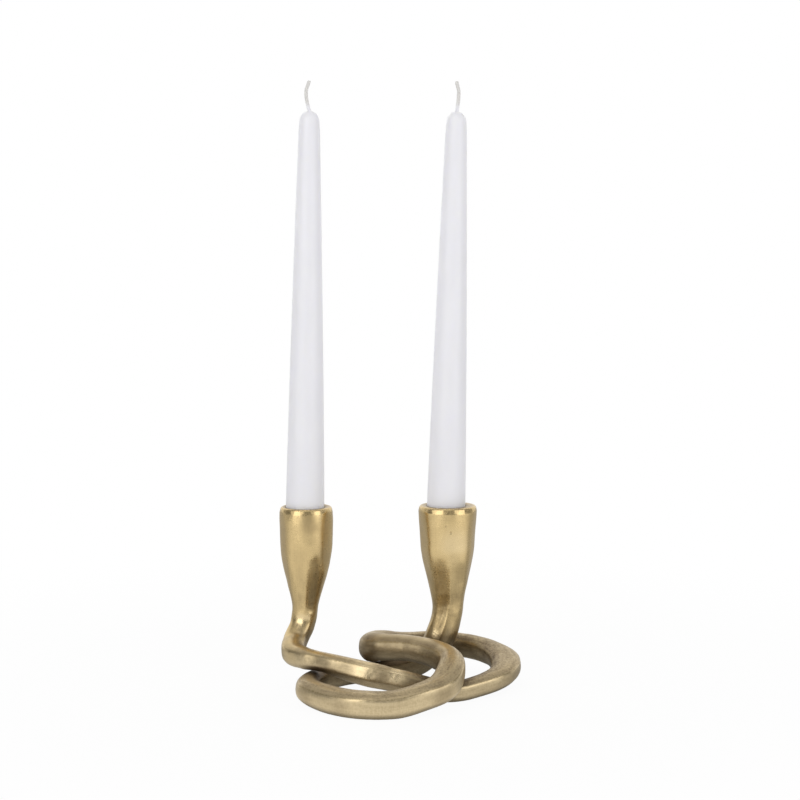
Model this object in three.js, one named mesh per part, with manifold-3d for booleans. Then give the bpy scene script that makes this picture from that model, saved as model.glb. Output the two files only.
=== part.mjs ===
// A holder for two taper candles: one brass bar knotted into two linked loops, with a cup on each end.
// The bar is cast in five lengths that are hooked through each other and welded end to end with the cups,
// because linked loops can't leave a mould in one piece. Each cup holds a loose taper with its wick.
// Millimetres, +Z up, the front towards -Y, and the origin on the table under the middle of the object.
import * as THREE from "three";
import { mergeVertices } from "three/addons/utils/BufferGeometryUtils.js";
import Module from "manifold-3d";

// Candles, which lean to the right with their sockets
const CANDLE_LENGTH = 250;
const CANDLE_BASE_DIAMETER = 22.3;
const CANDLE_TOP_DIAMETER = 11.8;
const CANDLE_SWELL = 0.35;
const CANDLE_STRAIGHT_END = 25;
const CANDLE_BASE_CHAMFER = 1;
const CROWN_HEIGHT = 5;
const CROWN_DIAMETER = 4.8;
const CROWN_SHOULDER = 0.8;
const CROWN_FULLNESS = 0.7;
const LEFT_LEAN = THREE.MathUtils.degToRad(0.9);
const RIGHT_LEAN = THREE.MathUtils.degToRad(1.4);

// Wicks: the free end bows sideways and its tip comes back
const WICK_DIAMETER = 2.2;
const WICK_FREE_LENGTH = 17.5;
const WICK_CLEARANCE = 0.3;
const WICK_BOW_HEIGHT = 0.62;
const LEFT_WICK_BOW = -2.1;
const LEFT_WICK_TIP = -0.5;
const RIGHT_WICK_BOW = 0.9;
const RIGHT_WICK_TIP = -0.5;

// Cups: the sockets are bored a little off the middle of the rim, and the necks bend a little aside
const RIM_ROUNDING = 1.3;
const SOCKET_CLEARANCE = 0.4;
const SOCKET_CHAMFER = 0.6;
const SEAT_GAP = 0.3;
const LEFT_RIM_HEIGHT = 101.6;
const LEFT_SOCKET_DEPTH = 25;
const LEFT_SOCKET_OFFSET = -0.6;
const LEFT_CUP_WALL = 3.95;
const LEFT_BARREL_LENGTH = 19.6;
const LEFT_BARREL_DRAFT = 0.3;
const LEFT_BARREL_EASE = 17;
const LEFT_NECK_EASE = 9;
const LEFT_NECK_DIAMETER = 14.9;
const LEFT_NECK_HEIGHT = 41;
const LEFT_NECK_SHIFT = -0.9;
const RIGHT_RIM_HEIGHT = 102.4;
const RIGHT_SOCKET_DEPTH = 26.1;
const RIGHT_SOCKET_OFFSET = -0.9;
const RIGHT_CUP_WALL = 5.5;
const RIGHT_BARREL_LENGTH = 22.4;
const RIGHT_BARREL_DRAFT = 1.3;
const RIGHT_BARREL_EASE = 13;
const RIGHT_NECK_EASE = 10;
const RIGHT_NECK_DIAMETER = 17.9;
const RIGHT_NECK_HEIGHT = 42;
const RIGHT_NECK_SHIFT = 0.2;

// Places of the cups, from the middle of the loop that each one stands over
const LEFT_CUP_BEYOND_LOOP = 2.7;
const RIGHT_CUP_OFFSET = 5;
const CUP_ROW_OFFSET = 9;

// Loops: two level ovals, seen from above
const LOOP_HALF_WIDTH = 39.4;
const LOOP_HALF_DEPTH = 35.5;
const LOOP_SPACING_X = 34.5;
const LOOP_SPACING_Y = 36;

// Thickness of the bar, strand by strand
const KNEE_THICKNESS = 13.3;
const ARM_THICKNESS = 11.4;
const BACK_THICKNESS = 13.8;
const RETURN_THICKNESS = 13;
const RETURN_WAIST = 12;
const BRIDGE_THICKNESS = 15;
const FRONT_THICKNESS = 14.8;
const LEFT_END_THICKNESS = 14;
const STEM_THICKNESS = 17.8;
const STEM_FOOT_THICKNESS = 15.6;
const RIGHT_END_WIDTH = 18;
const RIGHT_END_THICKNESS = 13.4;
const CROSSING_GAP = 0.6;
const GROUND_OFF = 0.5;

// Section of the bar: an octagon with soft corners, in shares of its half width and half thickness
const SIDE_FACET_TOP = 0.4;
const SIDE_FACET_BOTTOM = -0.46;
const TOP_FACET = 0.46;
const BOTTOM_FACET = 0.44;
const CORNER_SOFTNESS = 0.22;

// Fineness of the faceted solids
const RING_STEP = 4.6;
const TURNED_SIDES = 32;
const FLARE_STEPS = 9;
const ROUNDING_STEPS = 3;
const TAPER_STEPS = 6;
const WICK_SIDES = 8;
const WICK_STEPS = 9;
const GROUND_BLOCK = 600;

const wasm = await Module();
wasm.setup();

const brass = new THREE.MeshStandardMaterial({ color: 0xb39a5e, roughness: 0.38, metalness: 1 });
const wax = new THREE.MeshStandardMaterial({ color: 0xe9e8ec, roughness: 0.5, metalness: 0 });
const cotton = new THREE.MeshStandardMaterial({ color: 0xe2ddd3, roughness: 0.9, metalness: 0 });

// Plan of the knot

const leftLoopCentre = new THREE.Vector2(-LOOP_SPACING_X / 2, -LOOP_SPACING_Y / 2);
const rightLoopCentre = new THREE.Vector2(LOOP_SPACING_X / 2, LOOP_SPACING_Y / 2);
const cupRow = rightLoopCentre.y + CUP_ROW_OFFSET;
const leftCupPlace = new THREE.Vector2(leftLoopCentre.x - LOOP_HALF_WIDTH - LEFT_CUP_BEYOND_LOOP, cupRow);
const rightCupPlace = new THREE.Vector2(rightLoopCentre.x + RIGHT_CUP_OFFSET, cupRow);

// A place on a loop, by its angle in degrees from the right, anticlockwise seen from above.
function onLoop(centre, degrees) {
  const angle = THREE.MathUtils.degToRad(degrees);
  const x = centre.x + LOOP_HALF_WIDTH * Math.cos(angle);
  return new THREE.Vector2(x, centre.y + LOOP_HALF_DEPTH * Math.sin(angle));
}
const onLeft = (degrees) => onLoop(leftLoopCentre, degrees);
const onRight = (degrees) => onLoop(rightLoopCentre, degrees);
const beside = (place, x, y) => new THREE.Vector2(place.x + x, place.y + y);

// Heights of the bar's middle: lying on the table, and passing over another strand that lies on it.
const lying = (thickness) => thickness / 2 - GROUND_OFF;
const passing = (lower, upper) => lying(lower) + (lower + upper) / 2 + CROSSING_GAP;
const ARM_OVER_LEFT_LOOP = passing(RETURN_THICKNESS, ARM_THICKNESS);
const BRIDGE_OVER_RIGHT_LOOP = passing(ARM_THICKNESS, BRIDGE_THICKNESS);
const BRIDGE_OVER_RETURN = passing(RETURN_THICKNESS, BRIDGE_THICKNESS);

// The bar's course from the left neck to the right neck, as stations that a smooth curve runs through.
// Each one gives the place and height of the bar's middle, its thickness and width, and how round it is.
const stations = [];
function station(place, height, thickness, width = thickness, roundness = 0) {
  stations.push({ at: new THREE.Vector3(place.x, place.y, height), thickness, width, roundness });
  return stations.length - 1;
}

const armCrossing = onLeft(157);
const frontSeam = onRight(-82);
const knot = new THREE.Vector2(0, 0);
const leftNeckPlace = beside(leftCupPlace, LEFT_NECK_SHIFT, 0);
const rightNeckPlace = beside(rightCupPlace, RIGHT_NECK_SHIFT, 0);

// Down from the left neck, out to a foot and over the left loop to the front of the right loop
const leftNeck = station(leftNeckPlace, LEFT_NECK_HEIGHT, LEFT_NECK_DIAMETER, LEFT_NECK_DIAMETER, 1);
station(beside(leftNeckPlace, -0.4, 0), LEFT_NECK_HEIGHT - 3.6, 14.2, 14.2, 0.7);
station(beside(leftNeckPlace, -1.5, -1.2), LEFT_NECK_HEIGHT - 8.5, 13.5, 13.5, 0.4);
station(beside(leftNeckPlace, -5.1, -7), LEFT_NECK_HEIGHT - 16.2, KNEE_THICKNESS);
station(beside(leftNeckPlace, -5.8, -18), ARM_OVER_LEFT_LOOP + 1.6, KNEE_THICKNESS);
station(beside(armCrossing, -5.5, 4), ARM_OVER_LEFT_LOOP + 0.6, 12);
station(beside(armCrossing, 7.5, -5.5), ARM_OVER_LEFT_LOOP, ARM_THICKNESS);
station(beside(frontSeam, -48, -1.3), ARM_OVER_LEFT_LOOP - 3.5, 13.8, 12.4);
station(beside(frontSeam, -27, -5.3), lying(ARM_THICKNESS) + 6.3, 13, 11.8);
station(beside(frontSeam, -10, -4.25), lying(ARM_THICKNESS) + 2.3, 11.8, ARM_THICKNESS);
const armEnd = station(beside(frontSeam, 0, -2.5), lying(ARM_THICKNESS), ARM_THICKNESS);

// Round the right loop, rising from the table
station(onRight(-60), lying(ARM_THICKNESS) + 1, ARM_THICKNESS);
station(onRight(-28), lying(ARM_THICKNESS) + 3.8, 12.4, 14.8);
station(beside(onRight(8), -1.3, 0), lying(RIGHT_END_THICKNESS) + 5.7, RIGHT_END_THICKNESS, RIGHT_END_WIDTH);
station(beside(onRight(45), -0.9, 0), lying(BACK_THICKNESS) + 7.4, 14, 14.2);
station(onRight(85), lying(BACK_THICKNESS) + 9.2, BACK_THICKNESS, 12.8);
const rightLoopEnd = station(onRight(122), BRIDGE_OVER_RETURN - 4.1, 13.6);

// Across the middle, over the return strand and over the front of the right loop
station(onRight(150), BRIDGE_OVER_RETURN - 1.3, 15.6, 15.2);
station(beside(onRight(172), 0.6, 0), BRIDGE_OVER_RETURN - 0.4, 17, 15.8);
station(beside(knot, -16.6, 13.6), BRIDGE_OVER_RETURN + 1.8, 15.8, BRIDGE_THICKNESS);
station(beside(knot, 0, 6.2), BRIDGE_OVER_RETURN + 2.9, 14.6);
station(beside(knot, 13.2, -2.2), BRIDGE_OVER_RIGHT_LOOP + 3.6, 15.4, 14.6);
station(beside(onLeft(6), 0.3, 0), BRIDGE_OVER_RIGHT_LOOP + 1.5, 16.4, 14.2);
station(beside(onLeft(-18), 2.6, 0), BRIDGE_OVER_RIGHT_LOOP - 0.5, 15.6, 15.2);
station(beside(onLeft(-38), 4.4, 0), lying(FRONT_THICKNESS) + 6.2, BRIDGE_THICKNESS, 16.6);
const bridgeEnd = station(beside(onLeft(-58), 1.7, -0.8), lying(FRONT_THICKNESS) + 2.4, FRONT_THICKNESS);

// Round the front of the left loop, on the table
station(onLeft(-78), lying(FRONT_THICKNESS), FRONT_THICKNESS);
station(onLeft(-104), lying(FRONT_THICKNESS), FRONT_THICKNESS);
station(beside(onLeft(-134), 1.8, 1.1), lying(FRONT_THICKNESS), FRONT_THICKNESS, FRONT_THICKNESS, 0.4);
station(onLeft(-164), lying(LEFT_END_THICKNESS) + 1.4, LEFT_END_THICKNESS, LEFT_END_THICKNESS, 0.7);
const leftLoopEnd = station(armCrossing, lying(RETURN_THICKNESS) + 0.4, RETURN_THICKNESS);

// Back along the table under the bridge, then up through the right loop to the right neck
station(beside(onLeft(136), 0, 2.2), lying(RETURN_THICKNESS), RETURN_THICKNESS);
station(beside(onLeft(113), 0, 4.8), lying(RETURN_WAIST), RETURN_WAIST);
station(beside(rightNeckPlace, -35, -1.5), lying(RETURN_WAIST), RETURN_WAIST);
station(beside(rightNeckPlace, -19, -1), lying(RETURN_THICKNESS) + 3.1, 13.4);
station(beside(rightNeckPlace, -9.9, -0.8), lying(RETURN_THICKNESS) + 10.8, STEM_FOOT_THICKNESS);
station(beside(rightNeckPlace, -3.3, -0.5), RIGHT_NECK_HEIGHT - 13.6, STEM_THICKNESS, STEM_THICKNESS, 0.4);
station(beside(rightNeckPlace, -0.5, 0), RIGHT_NECK_HEIGHT - 4, 17.6, 17.6, 0.8);
const rightNeck = station(rightNeckPlace, RIGHT_NECK_HEIGHT, RIGHT_NECK_DIAMETER, RIGHT_NECK_DIAMETER, 1);

// The bar

// The outline of the section, anticlockwise, with each corner cut back to two points.
function softOctagon() {
  const right = [
    new THREE.Vector2(BOTTOM_FACET, -1),
    new THREE.Vector2(1, SIDE_FACET_BOTTOM),
    new THREE.Vector2(1, SIDE_FACET_TOP),
    new THREE.Vector2(TOP_FACET, 1),
  ];
  const left = right.map((corner) => new THREE.Vector2(-corner.x, corner.y)).reverse();
  const corners = [...right, ...left];
  return corners.flatMap((corner, i) => {
    const before = corners.at(i - 1);
    const after = corners[(i + 1) % corners.length];
    return [corner.clone().lerp(before, CORNER_SOFTNESS), corner.clone().lerp(after, CORNER_SOFTNESS)];
  });
}

// The rings of the bar: where each one is, which way the bar runs there and which way is its top.
function barRings() {
  const curve = new THREE.CatmullRomCurve3(stations.map((s) => s.at), false, "centripetal");
  const sizes = new THREE.CubicInterpolant(
    stations.map((s, i) => i),
    stations.flatMap((s) => [s.width, s.thickness, s.roundness]),
    3,
  );
  const last = stations.length - 1;
  const rings = [];
  stations.forEach((s, i) => {
    const spacing = i < last ? s.at.distanceTo(stations[i + 1].at) : 0;
    const steps = Math.max(1, Math.round(spacing / RING_STEP));
    for (let k = 0; k < (i < last ? steps : 1); k += 1) {
      const along = i + k / steps;
      const [width, thickness, roundness] = sizes.evaluate(along);
      const centre = curve.getPoint(along / last);
      const forward = curve.getTangent(along / last);
      rings.push({ along, centre, forward, width, thickness, roundness });
    }
  });
  rings[0].forward.set(0, 0, -1);
  rings.at(-1).forward.set(0, 0, 1);
  return rings;
}

// The bar's top faces straight up on the level strands, and turns with the bar on the two stems.
function turnTops(rings) {
  const sky = new THREE.Vector3(0, 0, 1);
  const level = (ring) => Math.abs(ring.forward.z) < 0.6;
  const firstLevel = rings.findIndex(level);
  const lastLevel = rings.findLastIndex(level);
  const turn = new THREE.Quaternion();
  for (let i = firstLevel; i <= lastLevel; i += 1) {
    rings[i].top = sky.clone().projectOnPlane(rings[i].forward).normalize();
  }
  for (let i = firstLevel - 1; i >= 0; i -= 1) {
    turn.setFromUnitVectors(rings[i + 1].forward, rings[i].forward);
    rings[i].top = rings[i + 1].top.clone().applyQuaternion(turn);
  }
  for (let i = lastLevel + 1; i < rings.length; i += 1) {
    turn.setFromUnitVectors(rings[i - 1].forward, rings[i].forward);
    rings[i].top = rings[i - 1].top.clone().applyQuaternion(turn);
  }
  return rings;
}

function ringPoints({ centre, forward, top, width, thickness, roundness }, outline) {
  const side = top.clone().cross(forward);
  return outline.map((corner) => {
    const round = corner.clone().normalize();
    const { x, y } = corner.clone().lerp(round, roundness);
    return centre.clone().addScaledVector(side, (x * width) / 2).addScaledVector(top, (y * thickness) / 2);
  });
}

// A closed skin over rings of equally many points, with a flat cap on each end.
function loft(rings) {
  const sides = rings[0].length;
  const points = rings.flat();
  const faces = [];
  for (let i = 0; i + 1 < rings.length; i += 1) {
    for (let j = 0; j < sides; j += 1) {
      const a = i * sides + j;
      const b = i * sides + ((j + 1) % sides);
      faces.push(a, b, a + sides, b, b + sides, a + sides);
    }
  }
  const middle = (ring) => ring.reduce((sum, p) => sum.add(p), new THREE.Vector3()).divideScalar(sides);
  const start = points.push(middle(rings[0])) - 1;
  const end = points.push(middle(rings.at(-1))) - 1;
  const lastRing = (rings.length - 1) * sides;
  for (let j = 0; j < sides; j += 1) {
    const next = (j + 1) % sides;
    faces.push(start, next, j, end, lastRing + j, lastRing + next);
  }
  const geometry = new THREE.BufferGeometry().setFromPoints(points);
  geometry.setIndex(faces);
  return geometry;
}

function toSolid(geometry) {
  const vertProperties = geometry.getAttribute("position").array;
  const triVerts = new Uint32Array(geometry.getIndex().array);
  return new wasm.Manifold(new wasm.Mesh({ numProp: 3, vertProperties, triVerts }));
}

function toGeometry(solid) {
  const { vertProperties, triVerts } = solid.getMesh();
  const geometry = new THREE.BufferGeometry();
  geometry.setAttribute("position", new THREE.BufferAttribute(vertProperties, 3));
  geometry.setIndex(new THREE.BufferAttribute(triVerts, 1));
  return geometry;
}

// What lies under the table's surface, which is filed off the bar.
function groundBlock() {
  const box = new THREE.BoxGeometry(GROUND_BLOCK, GROUND_BLOCK, GROUND_BLOCK);
  box.deleteAttribute("normal");
  box.deleteAttribute("uv");
  box.translate(0, 0, -GROUND_BLOCK / 2);
  return toSolid(mergeVertices(box));
}

function named(name, geometry, material) {
  const flat = geometry.toNonIndexed();
  flat.computeVertexNormals();
  const mesh = new THREE.Mesh(flat, material);
  mesh.name = name;
  return mesh;
}

const rings = turnTops(barRings());
const outline = softOctagon();
const ground = groundBlock();

// One length of the bar, between two stations.
function barLength(name, from, to) {
  const skin = rings.filter(({ along }) => along >= from && along <= to);
  const solid = toSolid(loft(skin.map((ring) => ringPoints(ring, outline))));
  return named(name, toGeometry(solid.subtract(ground)), brass);
}

// The cups

// A turned piece from its outline: distance from the axis and height, from the bottom of the axis.
function turned(profile) {
  const geometry = new THREE.LatheGeometry(profile, TURNED_SIDES).rotateX(Math.PI / 2);
  geometry.deleteAttribute("normal");
  geometry.deleteAttribute("uv");
  return mergeVertices(geometry);
}

function arcPoints(x, y, radius, from, to, steps) {
  return new THREE.Path().absarc(x, y, radius, from, to, from > to).getPoints(steps);
}

const socketRadius = CANDLE_BASE_DIAMETER / 2 + SOCKET_CLEARANCE;

// The place of a socket: the middle of its mouth, with the lean that its candle has.
function socket(place, offset, rimHeight, lean) {
  const group = new THREE.Group();
  group.position.set(place.x + offset, place.y, rimHeight);
  group.rotation.y = lean;
  group.updateMatrix();
  return group;
}
const leftSocket = socket(leftCupPlace, LEFT_SOCKET_OFFSET, LEFT_RIM_HEIGHT, LEFT_LEAN);
const rightSocket = socket(rightCupPlace, RIGHT_SOCKET_OFFSET, RIGHT_RIM_HEIGHT, RIGHT_LEAN);

// What is bored out of a cup: the socket, with a chamfered mouth that opens past the rim.
function bore(mouth, depth, wall) {
  const chamfer = Math.min(SOCKET_CHAMFER, wall / 4);
  const profile = [
    new THREE.Vector2(0, -depth),
    new THREE.Vector2(socketRadius, -depth),
    new THREE.Vector2(socketRadius, -chamfer),
    new THREE.Vector2(socketRadius + 2 * chamfer, chamfer),
    new THREE.Vector2(0, chamfer),
  ];
  return toSolid(turned(profile).applyMatrix4(mouth.matrix));
}

// Moves the neck end of a cup aside by the shift, easing in from the foot of the barrel.
function bendNeck(geometry, barrelFoot, neckHeight, shift) {
  const points = geometry.getAttribute("position");
  for (let i = 0; i < points.count; i += 1) {
    const share = THREE.MathUtils.clamp((barrelFoot - points.getZ(i)) / (barrelFoot - neckHeight), 0, 1);
    points.setX(i, points.getX(i) + shift * share * share);
  }
  return geometry;
}

// A cup: a slightly tapered barrel round the socket, drawn in to the neck by an S curve.
function cup(name, place, mouth, sizes) {
  const { rimHeight, socketDepth, wall, barrel, draft } = sizes;
  const { barrelEase, neckEase, neckDiameter, neckHeight, neckShift } = sizes;
  const rimRadius = socketRadius + wall;
  const barrelFoot = new THREE.Vector2(rimRadius - draft, rimHeight - barrel);
  const neck = new THREE.Vector2(neckDiameter / 2, neckHeight);
  const flare = new THREE.CubicBezierCurve(
    neck,
    beside(neck, 0, neckEase),
    beside(barrelFoot, 0, -barrelEase),
    barrelFoot,
  );
  const rounding = Math.min(RIM_ROUNDING, wall / 2);
  const profile = [
    new THREE.Vector2(0, neckHeight),
    ...flare.getPoints(FLARE_STEPS),
    ...arcPoints(rimRadius - rounding, rimHeight - rounding, rounding, 0, Math.PI / 2, ROUNDING_STEPS),
    new THREE.Vector2(0, rimHeight),
  ];
  const outside = bendNeck(turned(profile), barrelFoot.y, neckHeight, neckShift);
  outside.translate(place.x, place.y, 0);
  return named(name, toGeometry(toSolid(outside).subtract(bore(mouth, socketDepth, wall))), brass);
}

// The candles

const wickBore = WICK_DIAMETER / 2 + WICK_CLEARANCE;

// A taper from its base at zero, with the bore that its wick fills.
function taper(name) {
  const baseRadius = CANDLE_BASE_DIAMETER / 2;
  const topRadius = CANDLE_TOP_DIAMETER / 2;
  const shoulder = CANDLE_LENGTH - CROWN_HEIGHT;
  const halfway = (CANDLE_STRAIGHT_END + shoulder) / 2;
  const side = new THREE.QuadraticBezierCurve(
    new THREE.Vector2(baseRadius, CANDLE_STRAIGHT_END),
    new THREE.Vector2((baseRadius + topRadius) / 2 + 2 * CANDLE_SWELL, halfway),
    new THREE.Vector2(topRadius, shoulder),
  );
  const crown = new THREE.QuadraticBezierCurve(
    new THREE.Vector2(topRadius, shoulder),
    new THREE.Vector2(topRadius * CROWN_SHOULDER, shoulder + CROWN_HEIGHT * CROWN_FULLNESS),
    new THREE.Vector2(CROWN_DIAMETER / 2, CANDLE_LENGTH),
  );
  const profile = [
    new THREE.Vector2(wickBore, 0),
    new THREE.Vector2(baseRadius - CANDLE_BASE_CHAMFER, 0),
    new THREE.Vector2(baseRadius, CANDLE_BASE_CHAMFER),
    ...side.getPoints(TAPER_STEPS),
    ...crown.getPoints(ROUNDING_STEPS).slice(1),
    new THREE.Vector2(wickBore, CANDLE_LENGTH),
    new THREE.Vector2(wickBore, 0),
  ];
  return named(name, turned(profile), wax);
}

// A wick: straight through the taper, then bowed above it.
function wick(name, bow, tip) {
  const free = new THREE.CatmullRomCurve3([
    new THREE.Vector3(0, 0, CANDLE_LENGTH),
    new THREE.Vector3(bow / 2, 0, CANDLE_LENGTH + (WICK_FREE_LENGTH * WICK_BOW_HEIGHT) / 2),
    new THREE.Vector3(bow, 0, CANDLE_LENGTH + WICK_FREE_LENGTH * WICK_BOW_HEIGHT),
    new THREE.Vector3(tip, 0, CANDLE_LENGTH + WICK_FREE_LENGTH),
  ]);
  const courses = [new THREE.Vector3(0, 0, 0), ...free.getPoints(WICK_STEPS)];
  const skin = courses.map((centre) =>
    Array.from({ length: WICK_SIDES }, (_, j) => {
      const angle = (2 * Math.PI * j) / WICK_SIDES;
      const reach = WICK_DIAMETER / 2;
      return new THREE.Vector3(reach * Math.cos(angle), reach * Math.sin(angle), 0).add(centre);
    }),
  );
  return named(name, loft(skin), cotton);
}

// A taper with its wick, standing on the floor of its socket.
function candle(side, mouth, socketDepth, bow, tip) {
  const pieces = new THREE.Group().add(taper(`${side}_candle`), wick(`${side}_wick`, bow, tip));
  pieces.position.z = SEAT_GAP - socketDepth;
  return mouth.add(pieces);
}

// Assembly

const assembly = new THREE.Group().add(
  cup("left_cup", leftCupPlace, leftSocket, {
    rimHeight: LEFT_RIM_HEIGHT,
    socketDepth: LEFT_SOCKET_DEPTH,
    wall: LEFT_CUP_WALL,
    barrel: LEFT_BARREL_LENGTH,
    draft: LEFT_BARREL_DRAFT,
    barrelEase: LEFT_BARREL_EASE,
    neckEase: LEFT_NECK_EASE,
    neckDiameter: LEFT_NECK_DIAMETER,
    neckHeight: LEFT_NECK_HEIGHT,
    neckShift: LEFT_NECK_SHIFT,
  }),
  barLength("left_arm", leftNeck, armEnd),
  barLength("right_loop", armEnd, rightLoopEnd),
  barLength("bridge", rightLoopEnd, bridgeEnd),
  barLength("left_loop", bridgeEnd, leftLoopEnd),
  barLength("right_arm", leftLoopEnd, rightNeck),
  cup("right_cup", rightCupPlace, rightSocket, {
    rimHeight: RIGHT_RIM_HEIGHT,
    socketDepth: RIGHT_SOCKET_DEPTH,
    wall: RIGHT_CUP_WALL,
    barrel: RIGHT_BARREL_LENGTH,
    draft: RIGHT_BARREL_DRAFT,
    barrelEase: RIGHT_BARREL_EASE,
    neckEase: RIGHT_NECK_EASE,
    neckDiameter: RIGHT_NECK_DIAMETER,
    neckHeight: RIGHT_NECK_HEIGHT,
    neckShift: RIGHT_NECK_SHIFT,
  }),
  candle("left", leftSocket, LEFT_SOCKET_DEPTH, LEFT_WICK_BOW, LEFT_WICK_TIP),
  candle("right", rightSocket, RIGHT_SOCKET_DEPTH, RIGHT_WICK_BOW, RIGHT_WICK_TIP),
);

// The middle of the object stands over the origin.
const middle = new THREE.Box3().setFromObject(assembly, true).getCenter(new THREE.Vector3());
assembly.position.set(-middle.x, -middle.y, 0);

const holder = new THREE.Group().add(assembly);

export default holder;
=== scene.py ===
"""Dresses the knotted brass candle holder around its CAD frame: brass casting, tapers, wicks and stage."""

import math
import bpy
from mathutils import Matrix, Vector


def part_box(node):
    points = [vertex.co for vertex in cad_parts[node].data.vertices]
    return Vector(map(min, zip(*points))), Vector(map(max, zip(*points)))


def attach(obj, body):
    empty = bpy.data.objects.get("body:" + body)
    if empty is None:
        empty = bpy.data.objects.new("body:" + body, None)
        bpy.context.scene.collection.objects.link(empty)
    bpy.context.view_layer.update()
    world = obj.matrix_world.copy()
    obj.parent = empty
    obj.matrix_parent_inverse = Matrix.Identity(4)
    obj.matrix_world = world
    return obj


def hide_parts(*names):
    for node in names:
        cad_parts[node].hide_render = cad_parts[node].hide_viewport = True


bl_info = {
    "name": "Knotted candle holder",
    "version": (1, 0, 0),
    "blender": (4, 5, 0),
    "location": "View3D > Sidebar > Holder",
    "description": "Makes the brass casting, tapers and wicks of a knotted candle holder on its CAD frame",
    "category": "Object",
}

from contextlib import contextmanager

import bmesh
import bpy
import numpy as np
from bpy.props import FloatProperty, FloatVectorProperty, IntProperty, PointerProperty
from bpy.types import Operator, Panel, PropertyGroup
from mathutils import Matrix, Vector
from mathutils.kdtree import KDTree

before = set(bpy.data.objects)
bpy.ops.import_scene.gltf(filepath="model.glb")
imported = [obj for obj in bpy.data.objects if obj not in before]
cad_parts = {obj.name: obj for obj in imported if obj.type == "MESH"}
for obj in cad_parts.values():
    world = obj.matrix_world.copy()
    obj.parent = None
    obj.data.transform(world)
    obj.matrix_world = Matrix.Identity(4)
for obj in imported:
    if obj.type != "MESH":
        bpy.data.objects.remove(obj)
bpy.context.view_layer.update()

MM = 0.001
MERGE_DISTANCE = 0.01 * MM
TINY = 1e-9

# The casting in order along the bar, in groups of neighbours that don't cross each other
CASTING_GROUPS = (
    ("left_cup", "left_arm"),
    ("right_loop",),
    ("bridge",),
    ("left_loop",),
    ("right_arm", "right_cup"),
)
SEAM_REACH = 14 * MM
SEAM_BAND = 1.6 * MM
SEAM_OVERRUN = 6 * MM
CUP_OVERLAP = 0.5 * MM

# The bar's course from the left neck to the right one: middle, width, thickness, roundness, roll in degrees
COURSE = (
    (-55, 27.5, 41, 14.9, 14.9, 1, 0),
    (-55.4, 27.5, 37.4, 14.2, 14.2, 0.4, 0),
    (-56.5, 26.3, 32.5, 13.5, 13.5, 0.15, 0),
    (-60.03, 20.5, 24.8, 13.3, 13.3, 0.15, 0),
    (-60.73, 9.5, 20.4, 13.3, 13.3, 0.25, 0),
    (-53.77, 0.37, 19.4, 12, 12, 0.3, 6),
    (-40.77, -9.13, 18.8, 11.4, 11.4, 0.25, 14),
    (-20.02, -17.95, 15.3, 12.4, 13.8, 0.15, 17),
    (0.98, -21.95, 11.5, 11.8, 13, 0.2, 16),
    (17.98, -20.9, 7.5, 11.4, 11.8, 0.2, 9),
    (27.98, -19.15, 5.2, 11.4, 11.4, 0, 0),
    (42.2, -12.24, 6.2, 11.4, 11.4, 0.1, 0),
    (57.29, 1.83, 9, 14.8, 12.4, 0.2, 0),
    (60.22, 23.44, 11.9, 18, 13.4, 0.4, 0),
    (49.46, 43.6, 13.8, 14.2, 14, 0.45, 0),
    (25.93, 53.86, 15.6, 12.8, 13.8, 0.5, 0),
    (1.62, 48.61, 16.5, 13.6, 13.6, 0.6, 0),
    (-11.62, 36.25, 19.3, 15.2, 15.6, 0.6, 0),
    (-15.92, 23.44, 20.2, 15.8, 17, 0.55, 0),
    (-11.35, 14.1, 22.4, 15, 15.8, 0.75, 0),
    (5.25, 6.7, 23.5, 14.6, 14.6, 0.7, 0),
    (18.45, -1.7, 22.6, 14.6, 15.4, 0.6, 0),
    (27.48, -13.79, 20.5, 14.2, 16.4, 0.45, 0),
    (28.07, -28.47, 18.5, 15.2, 15.6, 0.15, 0),
    (23.45, -39.36, 13.4, 16.6, 15, 0, 0),
    (10.58, -48.21, 9.7, 14.8, 14.8, 0, 0),
    (-3.81, -52.1, 6.9, 14.8, 14.8, 0, 0),
    (-21.53, -51.83, 6.9, 14.8, 14.8, 0, 0),
    (-37.57, -41.94, 6.9, 14.8, 14.8, 0.4, 0),
    (-49.87, -27.29, 7.9, 14, 14, 0.7, 0),
    (-48.27, -3.63, 6.4, 13, 13, 0.3, 0),
    (-40.34, 9.36, 6, 13, 13, 0.2, 0),
    (-27.39, 19.98, 5.5, 12, 12, 0.2, 0),
    (-7.3, 26, 5.5, 12, 12, 0.2, 0),
    (8.7, 26.5, 9.1, 13.4, 13.4, 0.2, 0),
    (17.8, 26.7, 16.8, 15.6, 15.6, 0.55, 0),
    (24.4, 27, 28.4, 17.8, 17.8, 0.75, 0),
    (27.2, 27.5, 38, 17.6, 17.6, 0.9, 0),
    (27.7, 27.5, 42, 17.9, 17.9, 1, 0),
)
COURSE_STEP = 0.02
# The share of the end rows in which the bar turns upright, and the steepest level way
COURSE_END = 0.9
LEVEL_SLOPE = 0.6
# The rows of the course between which each length of the bar runs
LENGTHS = {
    "left_arm": (0, 10),
    "right_loop": (10, 16),
    "bridge": (16, 25),
    "left_loop": (25, 30),
    "right_arm": (30, 38),
}
# One side of the bar's section from bottom to top, in shares of its half width and thickness
SECTION = ((0.50, -1.0), (1.0, -0.50), (1.0, 0.62), (0.46, 1.0))
SECTION_CRISPNESS = 14
# How squarely a face looks outward where filing starts and is complete
FACING_OUT = (0.3, 0.6)

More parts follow.
